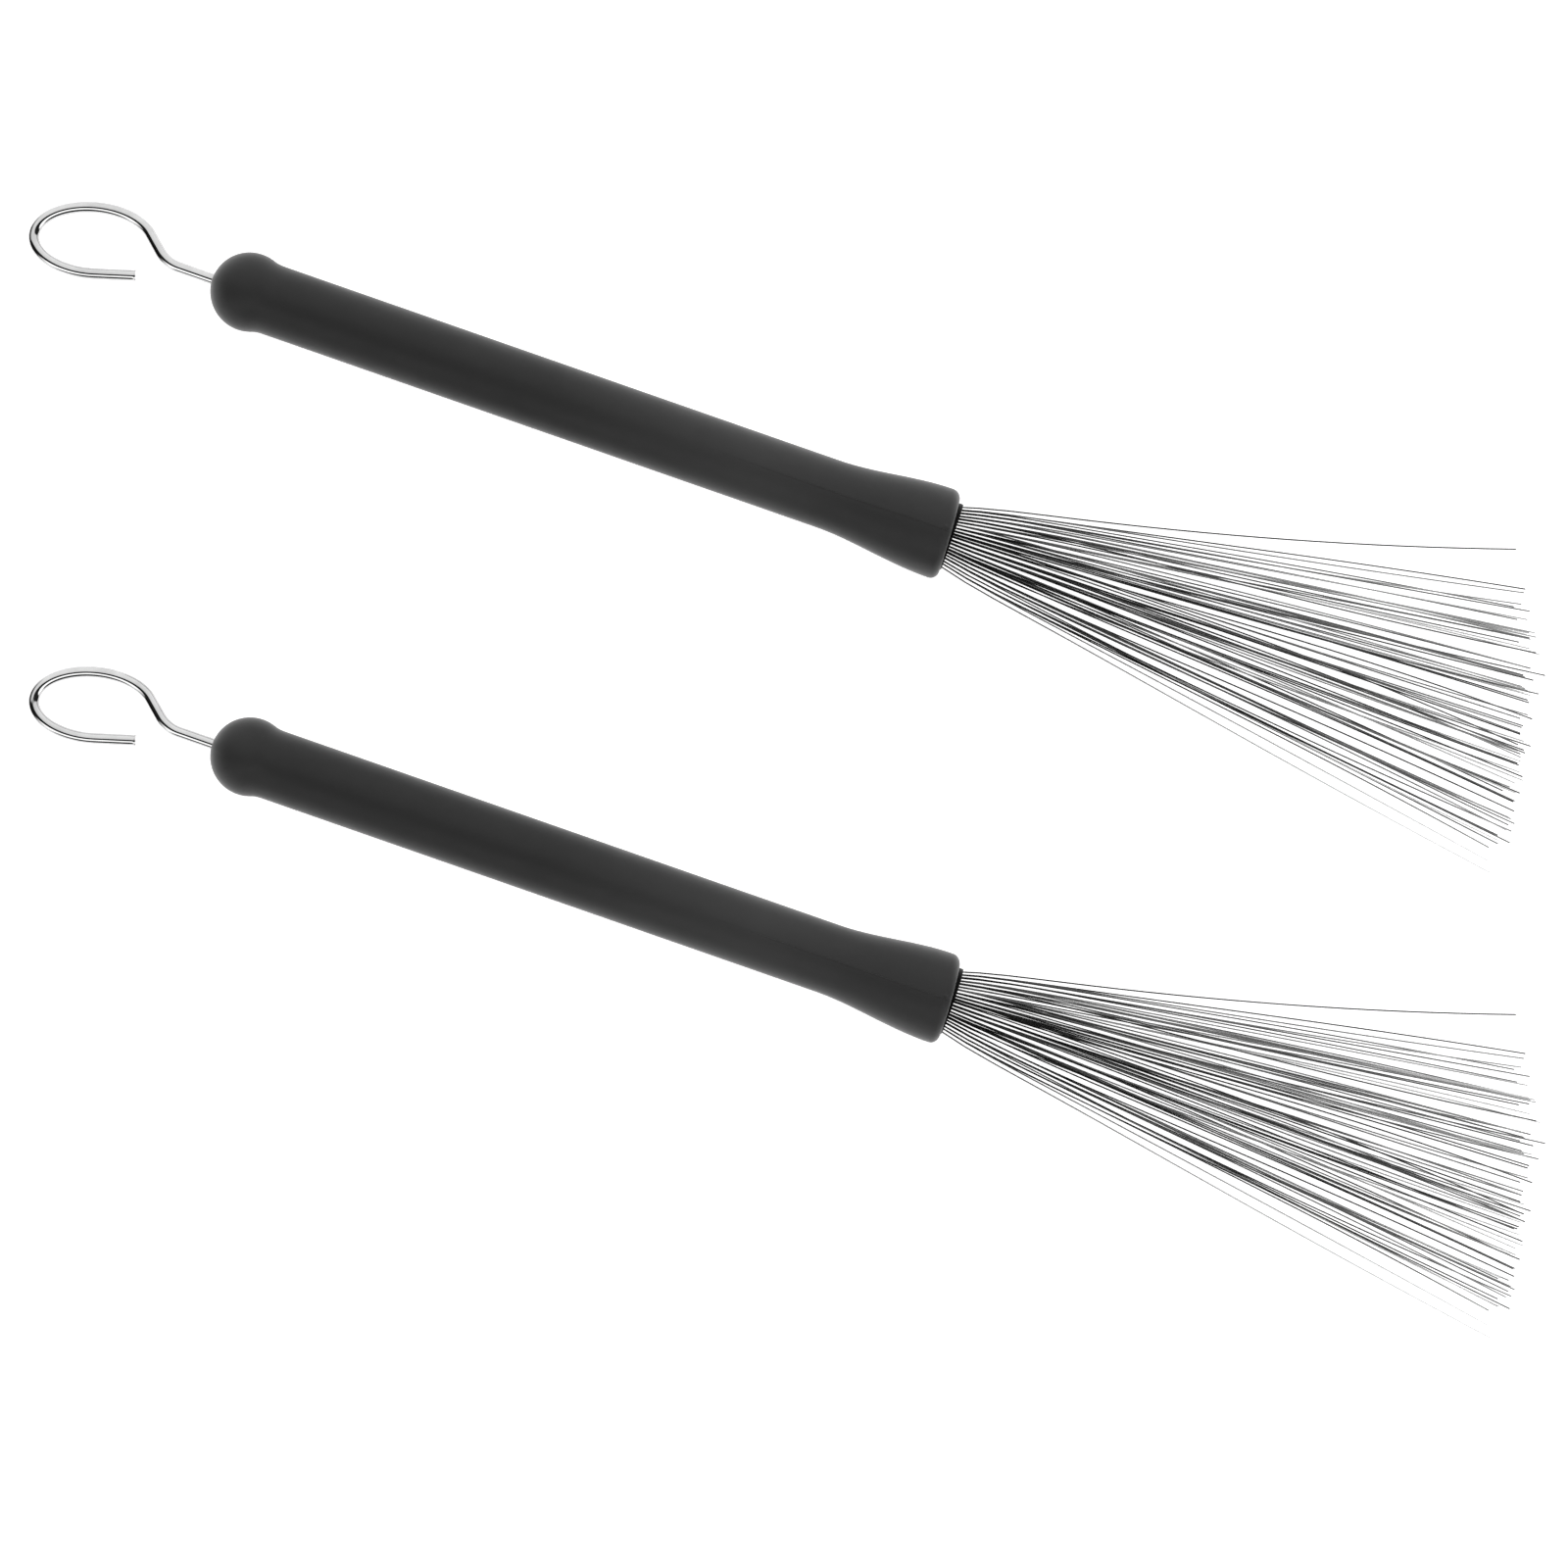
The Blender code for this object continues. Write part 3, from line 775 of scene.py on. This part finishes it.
def make_tuft(number, index, place, axis, material):
    """A tuft, in one piece for each side its wires lean to, as each side closes its own way."""
    node = f"wire_tuft_{number}_{index:02d}"
    for side, wires in tuft_sides(number, index, place).items():
        if not wires:
            continue
        builder = bmesh.new()
        layer = builder.verts.layers.float.new("wire_tone")
        tips = Vector()
        for route, tones in wires:
            placed = [axis + point for point in route]
            add_tube(builder, placed, [WIRE_RADIUS] * len(route), WIRE_SIDES, layer, tones)
            tips += route[-1]
        body = f"rod_{number}"
        tuft = new_object(f"{node}_{side}", builder, material, body, node)
        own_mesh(tuft)


# ---------------------------------------------------------------- scene


def stage_object(name, builder, tones, glow):
    """A pale matte surface of the studio, which isn't part of the brushes."""
    mesh = bpy.data.meshes.new(name)
    builder.to_mesh(mesh)
    builder.free()
    nodes = Nodes(f"pale_{name}")
    nodes.feed("Base Color", nodes.ramp(nodes.noise(3.0), tones))
    nodes.shade(Roughness=0.9, Specular_IOR_Level=0.1)
    nodes.shade(Emission_Color=(1.0, 1.0, 1.0, 1.0), Emission_Strength=glow)
    mesh.materials.append(nodes.material)
    made = bpy.data.objects.new(name, mesh)
    bpy.context.scene.collection.objects.link(made)
    return made


def make_floor():
    builder = bmesh.new()
    bmesh.ops.create_grid(builder, x_segments=4, y_segments=4, size=FLOOR_HALF_SIZE)
    floor = stage_object("floor", builder, ((0.3, 0.90), (0.8, 0.93)), FLOOR_GLOW)
    floor.location.z = -FLOOR_DROP


def make_backdrop():
    """A pale wall round the floor, for low views. Only the camera sees it: it lights nothing."""
    builder = bmesh.new()
    ring = [
        (BACKDROP_RADIUS * math.cos(angle), BACKDROP_RADIUS * math.sin(angle))
        for angle in (2 * math.pi * index / BACKDROP_SIDES for index in range(BACKDROP_SIDES))
    ]
    low = [builder.verts.new((x, y, -BACKDROP_HALF_HEIGHT)) for x, y in ring]
    high = [builder.verts.new((x, y, BACKDROP_HALF_HEIGHT)) for x, y in ring]
    for index in range(BACKDROP_SIDES):
        after = (index + 1) % BACKDROP_SIDES
        builder.faces.new((low[after], low[index], high[index], high[after]))
    backdrop = stage_object("backdrop", builder, ((0.3, 0.01), (0.8, 0.02)), BACKDROP_GLOW)
    backdrop.visible_diffuse = False
    backdrop.visible_glossy = False
    backdrop.visible_transmission = False
    backdrop.visible_shadow = False


def make_world():
    """A studio sky: a large soft light beyond the view's upper side, a smaller one below it."""
    world = bpy.data.worlds.new("studio")
    world.use_nodes = True
    tree = world.node_tree
    direction = tree.nodes.new("ShaderNodeTexCoord").outputs["Generated"]

    def glow(towards, stops):
        """Brightness by how far a direction reaches towards a given one, from -1 to 1."""
        dot = tree.nodes.new("ShaderNodeVectorMath")
        dot.operation = "DOT_PRODUCT"
        dot.inputs[1].default_value = towards
        share = tree.nodes.new("ShaderNodeMapRange")
        share.inputs["From Min"].default_value = -1.0
        ramp = tree.nodes.new("ShaderNodeValToRGB")
        set_stops(ramp, [((place + 1.0) / 2.0, value) for place, value in stops])
        tree.links.new(direction, dot.inputs[0])
        tree.links.new(dot.outputs["Value"], share.inputs["Value"])
        tree.links.new(share.outputs["Result"], ramp.inputs["Fac"])
        return ramp.outputs["Color"]

    def product(first, second):
        node = tree.nodes.new("ShaderNodeVectorMath")
        node.operation = "MULTIPLY"
        tree.links.new(first, node.inputs[0])
        tree.links.new(second, node.inputs[1])
        return node.outputs["Vector"]

    turn = Matrix.Rotation(VIEW_TURN, 3, "Z")
    lights = glow(turn @ Vector((0.0, 1.0, 0.0)), LIGHTS_ACROSS)
    ends = glow(turn @ Vector((1.0, 0.0, 0.0)), LIGHTS_ALONG)
    height = glow((0.0, 0.0, 1.0), LIGHTS_HEIGHT)
    total = product(product(lights, ends), height)
    tree.links.new(total, tree.nodes["Background"].inputs["Color"])
    tree.nodes["Background"].inputs["Strength"].default_value = LIGHT_STRENGTH
    bpy.context.scene.world = world


def make_camera(axis):
    camera_data = bpy.data.cameras.new("camera")
    camera_data.lens = LENS_MM
    camera_data.sensor_width = SENSOR_MM
    camera_data.clip_end = FURTHEST_SEEN
    camera = bpy.data.objects.new("camera", camera_data)
    height = VIEW_WIDTH * LENS_MM / SENSOR_MM
    place = Vector((axis.x + VIEW_PAST_GRIP_END, axis.y - VIEW_BELOW_AXIS, axis.z + height))
    camera.matrix_world = Matrix.Translation(place) @ Matrix.Rotation(VIEW_TURN, 4, "Z")
    bpy.context.scene.collection.objects.link(camera)
    bpy.context.scene.camera = camera


def axis_of(number):
    """The brush's axis at the rear end of its grip, from the CAD grip's box."""
    low, high = (Vector(corner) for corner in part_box(f"rubber_grip_{number}"))
    return Vector((high.x - GRIP_LENGTH, (low.y + high.y) / 2, (low.z + high.z) / 2))


def dress_inner_parts(number, nylon, brass, seal):
    """Materials for the CAD parts that stay: those inside the tube."""
    finishes = {
        "rear_bushing": nylon,
        "guide_piston": nylon,
        "rod_stop_collar": brass,
        "wire_ferrule": brass,
        "friction_ring": seal,
    }
    for base, material in finishes.items():
        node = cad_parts[f"{base}_{number}"]
        node.data.materials.clear()
        node.data.materials.append(material)


def main():
    rubber = rubber_material()
    tube = coated_tube_material()
    rod = rod_material()
    wire = wire_material()
    nylon, brass, seal = nylon_material(), brass_material(), seal_material()
    for number in BRUSHES:
        axis = axis_of(number)
        make_grip(number, axis, rubber)
        make_tube(number, axis, tube)
        make_rod(number, axis, rod)
        for index, place in enumerate(tuft_places(), start=1):
            make_tuft(number, index, place, axis, wire)
        dress_inner_parts(number, nylon, brass, seal)
    make_floor()
    make_backdrop()
    make_world()
    make_camera(axis_of(1))
    bpy.context.scene.view_settings.view_transform = "Standard"


main()
